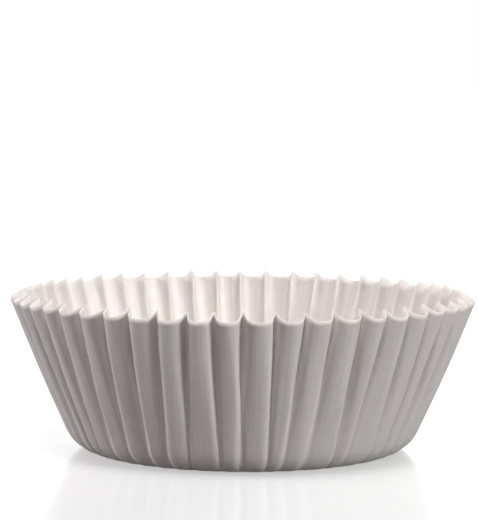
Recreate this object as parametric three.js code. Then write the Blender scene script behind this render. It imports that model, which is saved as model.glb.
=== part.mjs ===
// Paper baking cup, made from one round sheet of thin white paper: a flat round base and a fluted wall.
// Millimetres. The Z axis is the cup's axis, the base rests on z = 0 and the cup's front faces -Y.
import * as THREE from "three";

// The formed sheet, measured over the ridges of its flutes
const RIM_RADIUS = 35;
const RIM_HEIGHT = 22.7;
const BASE_RADIUS = 25.5;
const FOOT_ROUNDING = 5.4;
const WALL_BULGE = 0.32;
const PAPER = 0.1;

// The flutes, which fade out at the base
const FLUTES = 50;
const FRONT_RIDGE_DEGREES = -3.1;
const RIM_DEPTH = 2.4;
const DEPTH_GROWTH = 0.85;

// The fold lines of one flute, in order: left edge, left shoulder, crest, right shoulder and right edge of the
// ridge, then the two edges of the valley. Places are counted in flutes and depths in depths of the flute. A
// rounding is how far the curve over a fold reaches towards the folds beside it.
const RIM_PLACES = [-0.36, -0.22, 0, 0.22, 0.36, 0.45, 0.55];
const RIM_DEPTHS = [0.33, 0.06, 0, 0.06, 0.33, 1, 1];
const FOLD_ROUNDINGS = [0.3, 0.5, 0.5, 0.5, 0.3, 0.3, 0.3];
const FOLDS = RIM_PLACES.length;
const FOOT_RIDGE_WIDTH = 0.55;
const FOOT_RIDGE_SHARES = [0, 0.25, 0.5, 0.75, 1];
const FOOT_VALLEY_SHARE = 0.3;
const FOOT_EDGE_DEPTH = 0.32;

// How much further than the ridges the valleys stand up at the rim
const VALLEY_RISE = 0.4;

// How far the hand-pressed folds wander: places in flutes, width and depth as shares, the rim's edge in mm
const FOOT_WANDER = 0.2;
const FOOT_WIDTH_WANDER = 0.35;
const RIM_WANDER = 0.06;
const DEPTH_WANDER = 0.12;
const EDGE_WANDER = 0.12;

// The front ridges where they meet the base: their flute, the places of their left and right edges, and the
// tilt of the face between, -1 where only the left edge stands out and 1 where only the right edge does
const FRONT_FEET = new Map([
  [-7, [-7.5, -7.05, -1]],
  [-6, [-6.8, -6.2, -1]],
  [-5, [-5.8, -5.15, -1]],
  [-4, [-4.86, -4.1, -1]],
  [-3, [-3.75, -3.2, -1]],
  [-2, [-2.85, -2.05, -0.8]],
  [-1, [-1.86, -0.61, 0]],
  [0, [-0.4, 0.17, 0.4]],
  [1, [0.55, 1.43, 0.9]],
  [2, [1.62, 2.03, 1]],
  [3, [2.35, 3.04, 1]],
  [4, [3.45, 4.56, 1]],
  [5, [4.75, 5.11, 1]],
  [6, [5.5, 6.6, 1]],
  [7, [6.95, 7.5, 1]],
]);
const SPLIT_FLUTE = -1;
const SPLIT_DEPTH = 0.3;

// The sheet is divided along its fold lines, and across them into rows that crowd towards the foot
const WALL_ROWS = 7;
const ROW_CROWDING = 1.45;

const PAPER_COLOUR = 0xf4f1ea;
const TURN = 2 * Math.PI;

const wallTurn = Math.PI / 2 - Math.atan2(RIM_RADIUS - BASE_RADIUS, RIM_HEIGHT);
const footSetback = FOOT_ROUNDING * Math.tan(wallTurn / 2);
const footLength = FOOT_ROUNDING * wallTurn;
const flatRadius = BASE_RADIUS - footSetback;
const wallLength = Math.hypot(RIM_RADIUS - BASE_RADIUS, RIM_HEIGHT) - footSetback;
const sheetLength = footLength + wallLength;

// A smooth uneven value between about -1 and 1 that closes on itself after one trip round the cup
function wander(flute, phase) {
  const angle = (TURN * flute) / FLUTES;
  return (
    0.45 * Math.sin(7 * angle + phase) +
    0.35 * Math.sin(13 * angle + 2.3 * phase + 1) +
    0.3 * Math.sin(17 * angle + 3.7 * phase + 2)
  );
}

// Where the two edges of a ridge meet the base, in flutes, and the tilt of the face between them
function ridgeFoot(flute) {
  const turns = Math.floor((flute + FLUTES / 2) / FLUTES);
  const front = FRONT_FEET.get(flute - turns * FLUTES);
  if (front) {
    const [left, right, tilt] = front;
    return { left: left + turns * FLUTES, right: right + turns * FLUTES, tilt };
  }
  const middle = flute + FOOT_WANDER * wander(flute, 0.7);
  const width = FOOT_RIDGE_WIDTH * (1 + FOOT_WIDTH_WANDER * wander(flute, 1.9));
  return { left: middle - width / 2, right: middle + width / 2, tilt: wander(flute, 3.3) };
}

// The fold lines of one flute: where each one meets the base and the rim, and how deep it lies there
function fluteFolds(flute) {
  const { left, right, tilt } = ridgeFoot(flute);
  const following = ridgeFoot(flute + 1).left;
  const gap = following - right;
  const hollow = flute === (SPLIT_FLUTE + FLUTES) % FLUTES ? SPLIT_DEPTH : 0;
  const feet = FOOT_RIDGE_SHARES.map((share) => {
    const sideways = 1 - 2 * share;
    const depth = FOOT_EDGE_DEPTH * (1 + tilt * sideways) + hollow * (1 - Math.abs(sideways));
    return [left + share * (right - left), depth];
  });
  feet.push([right + FOOT_VALLEY_SHARE * gap, 1], [following - FOOT_VALLEY_SHARE * gap, 1]);
  return feet.map(([footPlace, footDepth], kind) => {
    const own = flute + RIM_PLACES[kind];
    return {
      footPlace,
      footDepth,
      rimPlace: own + RIM_WANDER * wander(own, 4.1),
      rimDepth: RIM_DEPTHS[kind],
      uneven: 1 + DEPTH_WANDER * wander(own, 2.6),
    };
  });
}

const folds = Array.from({ length: FLUTES }, (_, flute) => fluteFolds(flute)).flat();

// The line over the ridges at a distance along the sheet from the edge of the flat base
function profile(along) {
  const slope = Math.min(Math.max(along, 0), footLength) / FOOT_ROUNDING;
  const straight = Math.max(along - footLength, 0);
  const flat = Math.min(along, 0);
  const bulge = WALL_BULGE * Math.sin((Math.PI * straight) / wallLength);
  const wallReach = straight * Math.cos(slope) + bulge * Math.sin(slope);
  const wallRise = straight * Math.sin(slope) - bulge * Math.cos(slope);
  return {
    radius: flatRadius + flat + FOOT_ROUNDING * Math.sin(slope) + wallReach,
    height: FOOT_ROUNDING * (1 - Math.cos(slope)) + wallRise,
    slope,
  };
}

// One fold line at a distance along the sheet: its place round the cup, and its depth behind the ridges
function foldLine(number, along) {
  const share = Math.min(Math.max(along / sheetLength, 0), 1);
  const turns = Math.floor(number / folds.length);
  const fold = folds[number - turns * folds.length];
  const relative = fold.footDepth + (fold.rimDepth - fold.footDepth) * share;
  return {
    place: fold.footPlace + (fold.rimPlace - fold.footPlace) * share + turns * FLUTES,
    depth: relative * fold.uneven * RIM_DEPTH * share ** DEPTH_GROWTH,
  };
}

// The place and depth a given share of the way from one point of a flute's section to another
function between(start, end, share) {
  return {
    place: start.place + (end.place - start.place) * share,
    depth: start.depth + (end.depth - start.depth) * share,
  };
}

// How far the curve over a fold reaches, for any fold counted round the cup in either direction
function roundingOf(number) {
  return FOLD_ROUNDINGS[((number % FOLDS) + FOLDS) % FOLDS];
}

// The sheet runs straight from fold to fold and turns through a curve over each one
function sheetLine(fold, along) {
  const lower = Math.floor(fold);
  const nearest = fold - lower > 1 - roundingOf(lower + 1) ? lower + 1 : lower;
  const past = fold - nearest;
  const rounding = roundingOf(nearest);
  const corner = foldLine(nearest, along);
  const after = foldLine(nearest + 1, along);
  if (Math.abs(past) >= rounding) {
    return between(corner, after, past);
  }
  const share = (past + rounding) / (2 * rounding);
  const start = between(corner, foldLine(nearest - 1, along), rounding);
  const end = between(corner, after, rounding);
  return between(between(start, corner, share), between(corner, end, share), share);
}

// A point on the middle of the paper, for a place round the cup counted in fold lines
function middlePoint(fold, along) {
  const { radius, height, slope } = profile(along);
  const { place, depth } = sheetLine(fold, along);
  const angle = (FRONT_RIDGE_DEGREES * Math.PI) / 180 + (TURN * place) / FLUTES;
  const share = Math.min(Math.max(along / sheetLength, 0), 1);
  const uneven = EDGE_WANDER * wander(fold / FOLDS, 5.3);
  const edge = (uneven + (VALLEY_RISE * depth) / RIM_DEPTH) * share ** 2;
  const reach = radius - depth * Math.sin(slope) + edge * Math.cos(slope);
  const lift = height + depth * Math.cos(slope) + edge * Math.sin(slope);
  return new THREE.Vector3(reach * Math.sin(angle), -reach * Math.cos(angle), lift + PAPER / 2);
}

// The paper's outer face has its normal pointing away from the cup's inside
function faceNormal(fold, along) {
  const step = 0.01;
  const around = middlePoint(fold + step, along).sub(middlePoint(fold - step, along));
  const upward = middlePoint(fold, along + step).sub(middlePoint(fold, along - step));
  return around.cross(upward).normalize();
}

// A point on the paper's outer face, side 1, or on its inner face, side -1
function facePoint(fold, along, side) {
  const point = middlePoint(fold, along);
  const normal = along > 0 ? faceNormal(fold, along) : new THREE.Vector3(0, 0, -1);
  return point.addScaledVector(normal, (side * PAPER) / 2);
}

// The whole sheet as one closed body: outer face, inner face and the cut edge of the rim
function paperCup() {
  const columns = folds.length;
  const positions = [];
  const triangles = [];

  function addPoint(point) {
    positions.push(point.x, point.y, point.z);
    return positions.length / 3 - 1;
  }

  function addFace(side) {
    const rows = [];
    for (let row = 0; row <= WALL_ROWS; row += 1) {
      const along = sheetLength * (row / WALL_ROWS) ** ROW_CROWDING;
      rows.push(folds.map((_, fold) => addPoint(facePoint(fold, along, side))));
    }
    return rows;
  }

  function addTriangle(first, second, third, side) {
    triangles.push(...(side > 0 ? [first, second, third] : [first, third, second]));
  }

  function addBand(lower, upper, side) {
    for (let column = 0; column < columns; column += 1) {
      const next = (column + 1) % columns;
      addTriangle(lower[column], lower[next], upper[next], side);
      addTriangle(lower[column], upper[next], upper[column], side);
    }
  }

  const outer = addFace(1);
  const inner = addFace(-1);
  for (let row = 0; row < WALL_ROWS; row += 1) {
    addBand(outer[row], outer[row + 1], 1);
    addBand(inner[row], inner[row + 1], -1);
  }
  addBand(outer[WALL_ROWS], inner[WALL_ROWS], 1);

  const underside = addPoint(new THREE.Vector3(0, 0, 0));
  const floor = addPoint(new THREE.Vector3(0, 0, PAPER));
  for (let column = 0; column < columns; column += 1) {
    const next = (column + 1) % columns;
    addTriangle(underside, outer[0][next], outer[0][column], 1);
    addTriangle(floor, inner[0][next], inner[0][column], -1);
  }

  const geometry = new THREE.BufferGeometry();
  geometry.setAttribute("position", new THREE.Float32BufferAttribute(positions, 3));
  geometry.setIndex(triangles);
  geometry.computeVertexNormals();
  return geometry;
}

const paper = new THREE.MeshStandardMaterial({ color: PAPER_COLOUR, roughness: 0.85, metalness: 0 });
const cup = new THREE.Mesh(paperCup(), paper);
cup.name = "baking_cup";

const part = new THREE.Group();
part.name = "paper_baking_cup";
part.add(cup);

export default part;
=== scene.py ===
import math

import bpy
import numpy as np
from mathutils import Matrix, Vector


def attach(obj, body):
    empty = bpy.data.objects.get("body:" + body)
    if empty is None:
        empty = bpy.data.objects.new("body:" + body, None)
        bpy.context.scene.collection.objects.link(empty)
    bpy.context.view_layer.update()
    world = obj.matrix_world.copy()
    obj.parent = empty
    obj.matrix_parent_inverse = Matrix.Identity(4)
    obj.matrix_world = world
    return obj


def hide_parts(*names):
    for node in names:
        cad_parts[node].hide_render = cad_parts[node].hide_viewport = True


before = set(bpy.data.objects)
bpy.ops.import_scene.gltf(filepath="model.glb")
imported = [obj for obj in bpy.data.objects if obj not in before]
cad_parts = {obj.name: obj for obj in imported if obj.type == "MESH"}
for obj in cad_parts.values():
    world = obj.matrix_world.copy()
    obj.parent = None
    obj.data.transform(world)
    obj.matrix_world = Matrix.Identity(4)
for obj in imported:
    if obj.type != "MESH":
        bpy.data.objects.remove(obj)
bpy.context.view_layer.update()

# Sizes of the formed cup in millimetres, measured over the ridges of its flutes
RIM_RADIUS = 35.0
RIM_HEIGHT = 22.7
BASE_RADIUS = 25.5
FOOT_ROUNDING = 5.4
WALL_BULGE = 0.32
PAPER = 0.1
MILLIMETRE = 0.001

# The flutes. A fold's place is counted in flutes round the cup, and its depth in depths of the flute.
FLUTES = 50
FRONT_RIDGE_DEGREES = -3.1
RIM_DEPTH = 2.4
DEPTH_GROWTH = 0.85
RIM_PLACES = (-0.385, -0.24, 0.0, 0.24, 0.385, 0.46, 0.54)
RIM_DEPTHS = (0.36, 0.11, 0.0, 0.11, 0.36, 1.0, 1.0)
FOOT_RIDGE_WIDTH = 0.55
FOOT_VALLEY_SHARE = 0.3
FOOT_RIDGE_SHARES = (0.0, 0.25, 0.5, 0.75, 1.0)
FOOT_EDGE_DEPTH = 0.32
FOLDS = len(RIM_PLACES)
FOLD_ROUNDINGS = (0.3, 0.5, 0.5, 0.5, 0.3, 0.3, 0.3)
VALLEY_RISE = 0.32

# How far the pressed folds wander: places in flutes, widths and depths as shares, the rim's edge in mm
FOOT_WANDER = 0.2
FOOT_WIDTH_WANDER = 0.35
RIM_WANDER = 0.06
DEPTH_WANDER = 0.12
EDGE_WANDER = 0.12
PLACE_WOBBLE = 0.05
DEPTH_WOBBLE = 0.11

# An uneven value is a sum of waves: how many go round the cup, height, how the phase turns it, and start
WANDER_WAVES = ((7, 0.45, 1.0, 0.0), (13, 0.35, 2.3, 1.0), (17, 0.3, 3.7, 2.0))

# Each thing that wanders has a phase of its own, and the wobbles between rim and foot turn with height too
FOOT_PHASE = 0.7
FOOT_WIDTH_PHASE = 1.9
FOOT_TILT_PHASE = 3.3
DEPTH_PHASE = 2.6
RIM_PHASE = 4.1
EDGE_PHASE = 5.3
PLACE_WOBBLE_PHASE = 6.1
PLACE_WOBBLE_TURN = 2.5
DEPTH_WOBBLE_PHASE = 1.3
DEPTH_WOBBLE_TURN = 3.0
WOBBLES_PER_WANDER = 6

# The front ridges where they meet the base: the places of the left and right edges in flutes from the front
# ridge, and the tilt of the face between them, -1 where only the left edge stands out and 1 the right edge
FRONT_FEET = {
    -7: (-7.5, -7.05, -1.0),
    -6: (-6.8, -6.2, -1.0),
    -5: (-5.8, -5.15, -1.0),
    -4: (-4.86, -4.1, -1.0),
    -3: (-3.75, -3.2, -1.0),
    -2: (-2.85, -2.05, -0.8),
    -1: (-1.86, -0.61, 0.0),
    0: (-0.4, 0.17, 0.4),
    1: (0.55, 1.43, 0.9),
    2: (1.62, 2.03, 1.0),
    3: (2.35, 3.04, 1.0),
    4: (3.45, 4.56, 1.0),
    5: (4.75, 5.11, 1.0),
    6: (5.5, 6.6, 1.0),
    7: (6.95, 7.5, 1.0),
}

# The wide front ridge that is pressed in along its middle at the foot: which one, and how deep
SPLIT_FLUTE = -1
SPLIT_DEPTH = 0.3

# How finely the sheet is divided, and how many times its folds are smoothed
STOPS_PER_FOLD = (-0.3, 0.0, 0.3)
WALL_ROWS = 32
BASE_ROWS = 3
ROW_CROWDING = 1.35
LIP_WIDTH = 0.75
RIM_SOFTENING = 1
FOOT_SOFTENING = 8

# The photograph's frame and where the centre of the cup's base shows in it
IMAGE_WIDTH = 478
IMAGE_HEIGHT = 520
BASE_CENTRE_PIXEL = (241.9, 446.6)
FOCAL_PIXELS = 2297.0
CAMERA_DISTANCE = 0.350
CAMERA_ELEVATION_DEGREES = 9.4
CAMERA_ROLL_DEGREES = 0.41
SENSOR_HEIGHT = 36.0
NEAREST_SEEN = 0.01

# The paper: its colour, the darker share and limits of its pattern, its clouds, pressed streaks and fibres
PAPER_COLOUR = (0.81, 0.75, 0.72, 1.0)
SHADED_SHARE = 0.88
SHADED_BELOW = 0.35
CLEAR_ABOVE = 0.65
CLOUD_SCALE = 900.0
CLOUD_DETAIL = 5.0
CLOUD_ROUGHNESS = 0.6
STREAK_SCALE = 70.0
STREAK_DETAIL = 3.0
STREAK_ROUGHNESS = 0.65
STREAK_SHARE = 0.6
STREAKS_START = 15.0
FIBRE_SCALE = 3500.0
FIBRE_DETAIL = 3.0
FIBRE_ROUGHNESS = 0.5
BUMP_STRENGTH = 0.3
CLOUD_HEIGHT = 0.1
FIBRE_HEIGHT = 0.03
PAPER_ROUGHNESS = 0.62
PAPER_SPECULAR = 0.22
PAPER_SHEEN = 0.03
PAPER_SHEEN_ROUGHNESS = 0.4
PAPER_SCATTERING = 0.1
PAPER_SCATTER_COLOUR = (1.0, 0.95, 0.88)
PAPER_SCATTER_REACH = 0.4

# The table top, which glows a little where it is seen and gives back little light to the cup
TABLE_COLOUR = (0.46, 0.46, 0.465, 1.0)
TABLE_GLOW = 0.46
TABLE_BOUNCE_COLOUR = (0.06, 0.06, 0.063, 1.0)
TABLE_ROUGHNESS = 0.16
TABLE_RADIUS = 6.0
TABLE_SIDES = 96

# The white surround as a light, and the softboxes: name, place and side in metres, watts and colour
SURROUND_LIGHT = 0.045
SOFTBOXES = (
    ("top_softbox", (0.0, -1.1, 3.0), 1.0, 77.0, (1.0, 1.0, 1.0)),
    ("right_softbox", (1.6, -1.1, 0.6), 0.6, 21.0, (0.96, 1.0, 1.0)),
    ("left_softbox", (-1.9, 0.1, 0.5), 0.6, 17.0, (1.0, 0.965, 1.0)),
    ("front_softbox", (-0.5, -1.9, 0.7), 0.6, 2.6, (1.0, 1.0, 1.0)),
    ("back_softbox", (0.5, 2.0, 0.8), 0.8, 14.0, (1.0, 1.0, 1.0)),
)

# Lengths along the sheet, in millimetres, that follow from the sizes of the cup
wall_turn = math.pi / 2 - math.atan2(RIM_RADIUS - BASE_RADIUS, RIM_HEIGHT)
foot_setback = FOOT_ROUNDING * math.tan(wall_turn / 2)
foot_length = FOOT_ROUNDING * wall_turn
flat_radius = BASE_RADIUS - foot_setback
wall_length = math.hypot(RIM_RADIUS - BASE_RADIUS, RIM_HEIGHT) - foot_setback
sheet_length = foot_length + wall_length


def wander(flute, phase):
    """A smooth uneven value between about -1 and 1 that closes on itself round the cup."""
    angle = 2 * np.pi * flute / FLUTES
    return sum(
        height * np.sin(waves * angle + turning * phase + start)
        for waves, height, turning, start in WANDER_WAVES
    )


def ridge_foot(flute):
    """Where the two edges of a ridge meet the base, in flutes, and the tilt of the face between them."""
    turns, own = divmod(flute + FLUTES // 2, FLUTES)
    own -= FLUTES // 2
    if own in FRONT_FEET:
        left, right, tilt = FRONT_FEET[own]
        return left + turns * FLUTES, right + turns * FLUTES, tilt
    middle = flute + FOOT_WANDER * wander(flute, FOOT_PHASE)
    width = FOOT_RIDGE_WIDTH * (1 + FOOT_WIDTH_WANDER * wander(flute, FOOT_WIDTH_PHASE))
    return middle - width / 2, middle + width / 2, wander(flute, FOOT_TILT_PHASE)


def fold_feet():
    """The place of every fold line at the base, in flutes, and its depth there, in depths of the flute."""
    places = []
    depths = []
    for flute in range(FLUTES):
        left, right, tilt = ridge_foot(flute)
        following = ridge_foot(flute + 1)[0]
        gap = following - right
        hollow = SPLIT_DEPTH if flute == SPLIT_FLUTE % FLUTES else 0.0
        for share in FOOT_RIDGE_SHARES:
            places.append(left + share * (right - left))
            off_middle = 1 - 2 * share
            depths.append(FOOT_EDGE_DEPTH * (1 + tilt * off_middle) + hollow * (1 - abs(off_middle)))
        places += [right + FOOT_VALLEY_SHARE * gap, following - FOOT_VALLEY_SHARE * gap]
        depths += [1.0, 1.0]
    return np.array(places), np.array(depths)


fold_kinds = np.tile(np.arange(FOLDS), FLUTES)
rim_places = np.repeat(np.arange(FLUTES), FOLDS) + np.array(RIM_PLACES)[fold_kinds]
rim_depths = np.array(RIM_DEPTHS)[fold_kinds]
foot_places, foot_depths = fold_feet()
fold_depths = 1 + DEPTH_WANDER * wander(rim_places, DEPTH_PHASE)
rim_places = rim_places + RIM_WANDER * wander(rim_places, RIM_PHASE)


def profile(along):
    """The line over the ridges: radius, height and slope at a distance from the flat base's edge."""
    slope = np.clip(along, 0, foot_length) / FOOT_ROUNDING
    straight = np.maximum(along - foot_length, 0)
    flat = np.minimum(along, 0)
    bulge = WALL_BULGE * np.sin(np.pi * straight / wall_length)
    wall_reach = straight * np.cos(slope) + bulge * np.sin(slope)
    wall_rise = straight * np.sin(slope) - bulge * np.cos(slope)
    radius = flat_radius + flat + FOOT_ROUNDING * np.sin(slope) + wall_reach
    height = FOOT_ROUNDING * (1 - np.cos(slope)) + wall_rise
    return radius, height, slope


def fold_line(number, along):
    """One fold line: its place round the cup in flutes, and its depth behind the ridges."""
    share = np.clip(along / sheet_length, 0, 1)
    turns, own = np.divmod(number, FLUTES * FOLDS)
    place = foot_places[own] + (rim_places[own] - foot_places[own]) * share + turns * FLUTES
    relative = foot_depths[own] + (rim_depths[own] - foot_depths[own]) * share
    between_ends = np.sin(np.pi * share)
    spot = WOBBLES_PER_WANDER * rim_places[own]
    place_phase = PLACE_WOBBLE_PHASE + PLACE_WOBBLE_TURN * share
    depth_phase = DEPTH_WOBBLE_PHASE + DEPTH_WOBBLE_TURN * share
    place = place + PLACE_WOBBLE * between_ends * wander(spot, place_phase)
    relative = relative + DEPTH_WOBBLE * between_ends * wander(spot, depth_phase)
    depth = np.maximum(relative, 0) * fold_depths[own] * RIM_DEPTH * share**DEPTH_GROWTH
    return np.stack([place, depth])


def sheet_line(fold, along):
    """The sheet runs straight from fold to fold and turns through a short curve at each one."""
    lower = np.floor(fold).astype(int)
    roundings = np.array(FOLD_ROUNDINGS)
    past = fold - lower
    nearest = np.where(past > 1 - roundings[(lower + 1) % FOLDS], lower + 1, lower)
    past = fold - nearest
    rounding = roundings[nearest % FOLDS]
    corner = fold_line(nearest, along)
    before = fold_line(nearest - 1, along)
    after = fold_line(nearest + 1, along)
    share = np.clip((past + rounding) / (2 * rounding), 0, 1)
    start = corner + (before - corner) * rounding
    end = corner + (after - corner) * rounding
    curved = (1 - share) ** 2 * start + 2 * share * (1 - share) * corner + share**2 * end
    straight = corner + (after - corner) * past
    return np.where(np.abs(past) >= rounding, straight, curved)


def middle_points(fold, along):
    """Points on the middle of the paper, for places round the cup counted in fold lines."""
    radius, height, slope = profile(along)
    place, depth = sheet_line(fold, along)
    angle = math.radians(FRONT_RIDGE_DEGREES) + 2 * np.pi * place / FLUTES
    share = np.clip(along / sheet_length, 0, 1)
    edge = (EDGE_WANDER * wander(fold / FOLDS, EDGE_PHASE) + VALLEY_RISE * depth / RIM_DEPTH) * share**2
    reach = radius - depth * np.sin(slope) + edge * np.cos(slope)
    lift = height + depth * np.cos(slope) + edge * np.sin(slope)
    return np.stack([reach * np.sin(angle), -reach * np.cos(angle), lift + PAPER / 2], axis=-1)


def softened(points, along):
    """The sheet's folds are crisp at the rim and softer towards the foot, as pressed paper's are."""
    passes = RIM_SOFTENING + FOOT_SOFTENING * (1 - np.clip(along / sheet_length, 0, 1))
    for count in range(RIM_SOFTENING + FOOT_SOFTENING):
        mixed = (np.roll(points, 1, axis=1) + 2 * points + np.roll(points, -1, axis=1)) / 4
        share = np.clip(passes - count, 0, 1)[..., np.newaxis]
        points = points + (mixed - points) * share
    return points


def face_normals(points):
    """The normals of the paper's outer face, pointing away from the cup's inside."""
    around = np.roll(points, -1, axis=1) - np.roll(points, 1, axis=1)
    upward = np.gradient(points, axis=0)
    normals = np.cross(around, upward)
    return normals / np.linalg.norm(normals, axis=-1, keepdims=True)


def make_paper_cup():
    """The whole sheet as one closed mesh: its outer face, its inner face and the cut edge of the rim."""
    stops = np.concatenate([np.array(STOPS_PER_FOLD) + fold for fold in range(FLUTES * FOLDS)])
    wall = sheet_length * (np.arange(WALL_ROWS + 1) / WALL_ROWS) ** ROW_CROWDING
    wall = np.append(wall[:-1], [sheet_length - LIP_WIDTH, sheet_length])
    base = -flat_radius * (1 - np.arange(1, BASE_ROWS + 1) / (BASE_ROWS + 1))
    rows = np.concatenate([base, wall])
    fold, along = np.meshgrid(stops, rows)
    points = softened(middle_points(fold, along), along)
    normals = face_normals(points)
    outer = points + normals * PAPER / 2
    inner = points - normals * PAPER / 2

    count = len(stops)
    row_count = len(rows)
    vertices = np.concatenate([outer.reshape(-1, 3), inner.reshape(-1, 3), [[0, 0, 0], [0, 0, PAPER]]])
    column = np.arange(count)
    following = (column + 1) % count
    faces = []
    for row in range(row_count - 1):
        low = row * count
        high = low + count
        quads = np.stack([low + column, low + following, high + following, high + column], axis=1)
        faces.extend(quads.tolist())
        faces.extend((quads[:, ::-1] + row_count * count).tolist())
    top = (row_count - 1) * count
    rim = np.stack([column, following], axis=1) + top
    faces.extend(np.concatenate([rim, rim[:, ::-1] + row_count * count], axis=1).tolist())
    underside = len(vertices) - 2
    for start, end in zip(column.tolist(), following.tolist()):
        faces.append([underside, end, start])
        faces.append([underside + 1, start + row_count * count, end + row_count * count])

    mesh = bpy.data.meshes.new("paper_cup")
    mesh.from_pydata((vertices * MILLIMETRE).tolist(), [], faces)
    mesh.shade_smooth()
    cup = bpy.data.objects.new("paper_cup", mesh)
    bpy.context.scene.collection.objects.link(cup)
    return cup


def new_material(name):
    """A material with its nodes, its links and its main shader."""
    material = bpy.data.materials.new(name)
    material.use_nodes = True
    nodes = material.node_tree.nodes
    return material, nodes, material.node_tree.links, nodes["Principled BSDF"]


def add_noise(nodes, links, vector, scale, detail, roughness):
    """An uneven grey pattern over a vector."""
    noise = nodes.new("ShaderNodeTexNoise")
    noise.inputs["Scale"].default_value = scale
    noise.inputs["Detail"].default_value = detail
    noise.inputs["Roughness"].default_value = roughness
    links.new(vector, noise.inputs["Vector"])
    return noise.outputs["Fac"]


def add_bump(nodes, links, height, distance):
    """A fine relief of the paper from a grey pattern, with its greatest height in millimetres."""
    bump = nodes.new("ShaderNodeBump")
    bump.inputs["Strength"].default_value = BUMP_STRENGTH
    bump.inputs["Distance"].default_value = distance * MILLIMETRE
    links.new(height, bump.inputs["Height"])
    return bump


def make_paper():
    """White greaseproof paper: cloudy and a little soft to light, with fine fibres and pressed streaks."""
    material, nodes, links, shader = new_material("white_paper")
    place = nodes.new("ShaderNodeTexCoord").outputs["Object"]
    cloud = add_noise(nodes, links, place, CLOUD_SCALE, CLOUD_DETAIL, CLOUD_ROUGHNESS)
    fibre = add_noise(nodes, links, place, FIBRE_SCALE, FIBRE_DETAIL, FIBRE_ROUGHNESS)

    around = nodes.new("ShaderNodeVectorMath")
    around.operation = "MULTIPLY"
    around.inputs[1].default_value = (1.0, 1.0, 0.0)
    links.new(place, around.inputs[0])
    direction = nodes.new("ShaderNodeVectorMath")
    direction.operation = "NORMALIZE"
    links.new(around.outputs["Vector"], direction.inputs[0])
    towards = direction.outputs["Vector"]
    streak = add_noise(nodes, links, towards, STREAK_SCALE, STREAK_DETAIL, STREAK_ROUGHNESS)

    distance = nodes.new("ShaderNodeVectorMath")
    distance.operation = "LENGTH"
    links.new(around.outputs["Vector"], distance.inputs[0])
    wall = nodes.new("ShaderNodeMapRange")
    wall.inputs["From Min"].default_value = STREAKS_START * MILLIMETRE
    wall.inputs["From Max"].default_value = BASE_RADIUS * MILLIMETRE
    wall.inputs["To Max"].default_value = STREAK_SHARE
    links.new(distance.outputs["Value"], wall.inputs["Value"])
    shade = nodes.new("ShaderNodeMix")
    links.new(wall.outputs["Result"], shade.inputs["Factor"])
    links.new(cloud, shade.inputs["A"])
    links.new(streak, shade.inputs["B"])

    tint = nodes.new("ShaderNodeValToRGB")
    shaded, clear = tint.color_ramp.elements
    shaded.position = SHADED_BELOW
    shaded.color = tuple(SHADED_SHARE * value for value in PAPER_COLOUR[:3]) + (1.0,)
    clear.position = CLEAR_ABOVE
    clear.color = PAPER_COLOUR
    links.new(shade.outputs["Result"], tint.inputs["Fac"])
    links.new(tint.outputs["Color"], shader.inputs["Base Color"])

    clouds = add_bump(nodes, links, cloud, CLOUD_HEIGHT)
    fibres = add_bump(nodes, links, fibre, FIBRE_HEIGHT)
    links.new(clouds.outputs["Normal"], fibres.inputs["Normal"])
    links.new(fibres.outputs["Normal"], shader.inputs["Normal"])

    shader.inputs["Roughness"].default_value = PAPER_ROUGHNESS
    shader.inputs["Specular IOR Level"].default_value = PAPER_SPECULAR
    shader.inputs["Sheen Weight"].default_value = PAPER_SHEEN
    shader.inputs["Sheen Roughness"].default_value = PAPER_SHEEN_ROUGHNESS
    shader.inputs["Subsurface Weight"].default_value = PAPER_SCATTERING
    shader.inputs["Subsurface Radius"].default_value = PAPER_SCATTER_COLOUR
    shader.inputs["Subsurface Scale"].default_value = PAPER_SCATTER_REACH * MILLIMETRE
    return material


def add_seen_ray(nodes, links):
    """1 for rays that show a thing, straight, by gloss or through glass, and 0 for rays that light others."""
    ray = nodes.new("ShaderNodeLightPath")
    seen = nodes.new("ShaderNodeMath")
    seen.operation = "MAXIMUM"
    links.new(ray.outputs["Is Camera Ray"], seen.inputs[0])
    links.new(ray.outputs["Is Glossy Ray"], seen.inputs[1])
    through = nodes.new("ShaderNodeMath")
    through.operation = "MAXIMUM"
    links.new(seen.outputs["Value"], through.inputs[0])
    links.new(ray.outputs["Is Transmission Ray"], through.inputs[1])
    return through.outputs["Value"]


def make_table():
    """A white glossy table top that keeps the cup's soft shadow and its reflection."""
    material, nodes, links, shader = new_material("white_table")
    shader.inputs["Roughness"].default_value = TABLE_ROUGHNESS
    colour = nodes.new("ShaderNodeMix")
    colour.data_type = "RGBA"
    colour.inputs["A"].default_value = TABLE_BOUNCE_COLOUR
    colour.inputs["B"].default_value = TABLE_COLOUR
    seen = add_seen_ray(nodes, links)
    links.new(seen, colour.inputs["Factor"])
    links.new(colour.outputs["Result"], shader.inputs["Base Color"])
    glow = nodes.new("ShaderNodeMath")
    glow.operation = "MULTIPLY"
    glow.inputs[1].default_value = TABLE_GLOW
    links.new(seen, glow.inputs[0])
    links.new(glow.outputs["Value"], shader.inputs["Emission Strength"])
    shader.inputs["Emission Color"].default_value = (1.0, 1.0, 1.0, 1.0)
    bpy.ops.mesh.primitive_circle_add(vertices=TABLE_SIDES, radius=TABLE_RADIUS, fill_type="NGON")
    table = bpy.context.object
    table.name = "table_top"
    table.data.materials.append(material)
    return table


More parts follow.
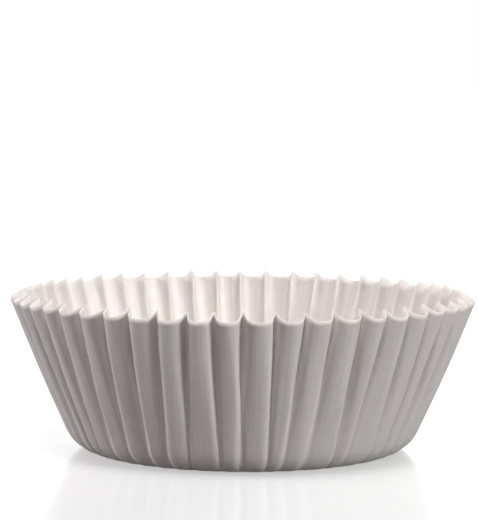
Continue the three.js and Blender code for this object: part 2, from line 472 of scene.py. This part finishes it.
def light_world():
    """An even white surround: full white where it is seen or reflected, and dimmer as a light."""
    world = bpy.data.worlds.new("white_surround")
    bpy.context.scene.world = world
    world.use_nodes = True
    nodes = world.node_tree.nodes
    links = world.node_tree.links
    level = nodes.new("ShaderNodeMapRange")
    level.inputs["To Min"].default_value = SURROUND_LIGHT
    level.inputs["To Max"].default_value = 1.0
    links.new(add_seen_ray(nodes, links), level.inputs["Value"])
    background = nodes["Background"]
    background.inputs["Color"].default_value = (1.0, 1.0, 1.0, 1.0)
    links.new(level.outputs["Result"], background.inputs["Strength"])


def add_softbox(name, place, side, watts, colour):
    """A large square lamp that looks at the cup."""
    data = bpy.data.lights.new(name, "AREA")
    data.shape = "SQUARE"
    data.size = side
    data.energy = watts
    data.color = colour
    lamp = bpy.data.objects.new(name, data)
    lamp.location = place
    lamp.rotation_euler = Vector(place).to_track_quat("Z", "Y").to_euler()
    bpy.context.scene.collection.objects.link(lamp)


def add_camera():
    """A camera turned so that the centre of the cup's base shows at its pixel in the photograph."""
    data = bpy.data.cameras.new("camera")
    data.sensor_fit = "VERTICAL"
    data.sensor_height = SENSOR_HEIGHT
    data.lens = FOCAL_PIXELS / IMAGE_HEIGHT * SENSOR_HEIGHT
    data.clip_start = NEAREST_SEEN
    camera = bpy.data.objects.new("camera", data)
    bpy.context.scene.collection.objects.link(camera)
    elevation = math.radians(CAMERA_ELEVATION_DEGREES)
    away = Vector((0, -math.cos(elevation), math.sin(elevation)))
    facing = away.to_track_quat("Z", "Y").to_matrix()
    across = (BASE_CENTRE_PIXEL[0] - IMAGE_WIDTH / 2) / FOCAL_PIXELS
    below = (BASE_CENTRE_PIXEL[1] - IMAGE_HEIGHT / 2) / FOCAL_PIXELS
    roll = Matrix.Rotation(math.radians(CAMERA_ROLL_DEGREES), 3, "Z")
    pitch = Matrix.Rotation(math.atan(below), 3, "X")
    yaw = Matrix.Rotation(math.atan(across), 3, "Y")
    turned = facing @ roll @ yaw @ pitch
    camera.matrix_world = Matrix.Translation(away * CAMERA_DISTANCE) @ turned.to_4x4()
    bpy.context.scene.camera = camera


cup = make_paper_cup()
cup.data.materials.append(make_paper())
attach(cup, "root")
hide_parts("baking_cup")

make_table()
light_world()
for softbox in SOFTBOXES:
    add_softbox(*softbox)
add_camera()
bpy.context.scene.view_settings.view_transform = "Standard"
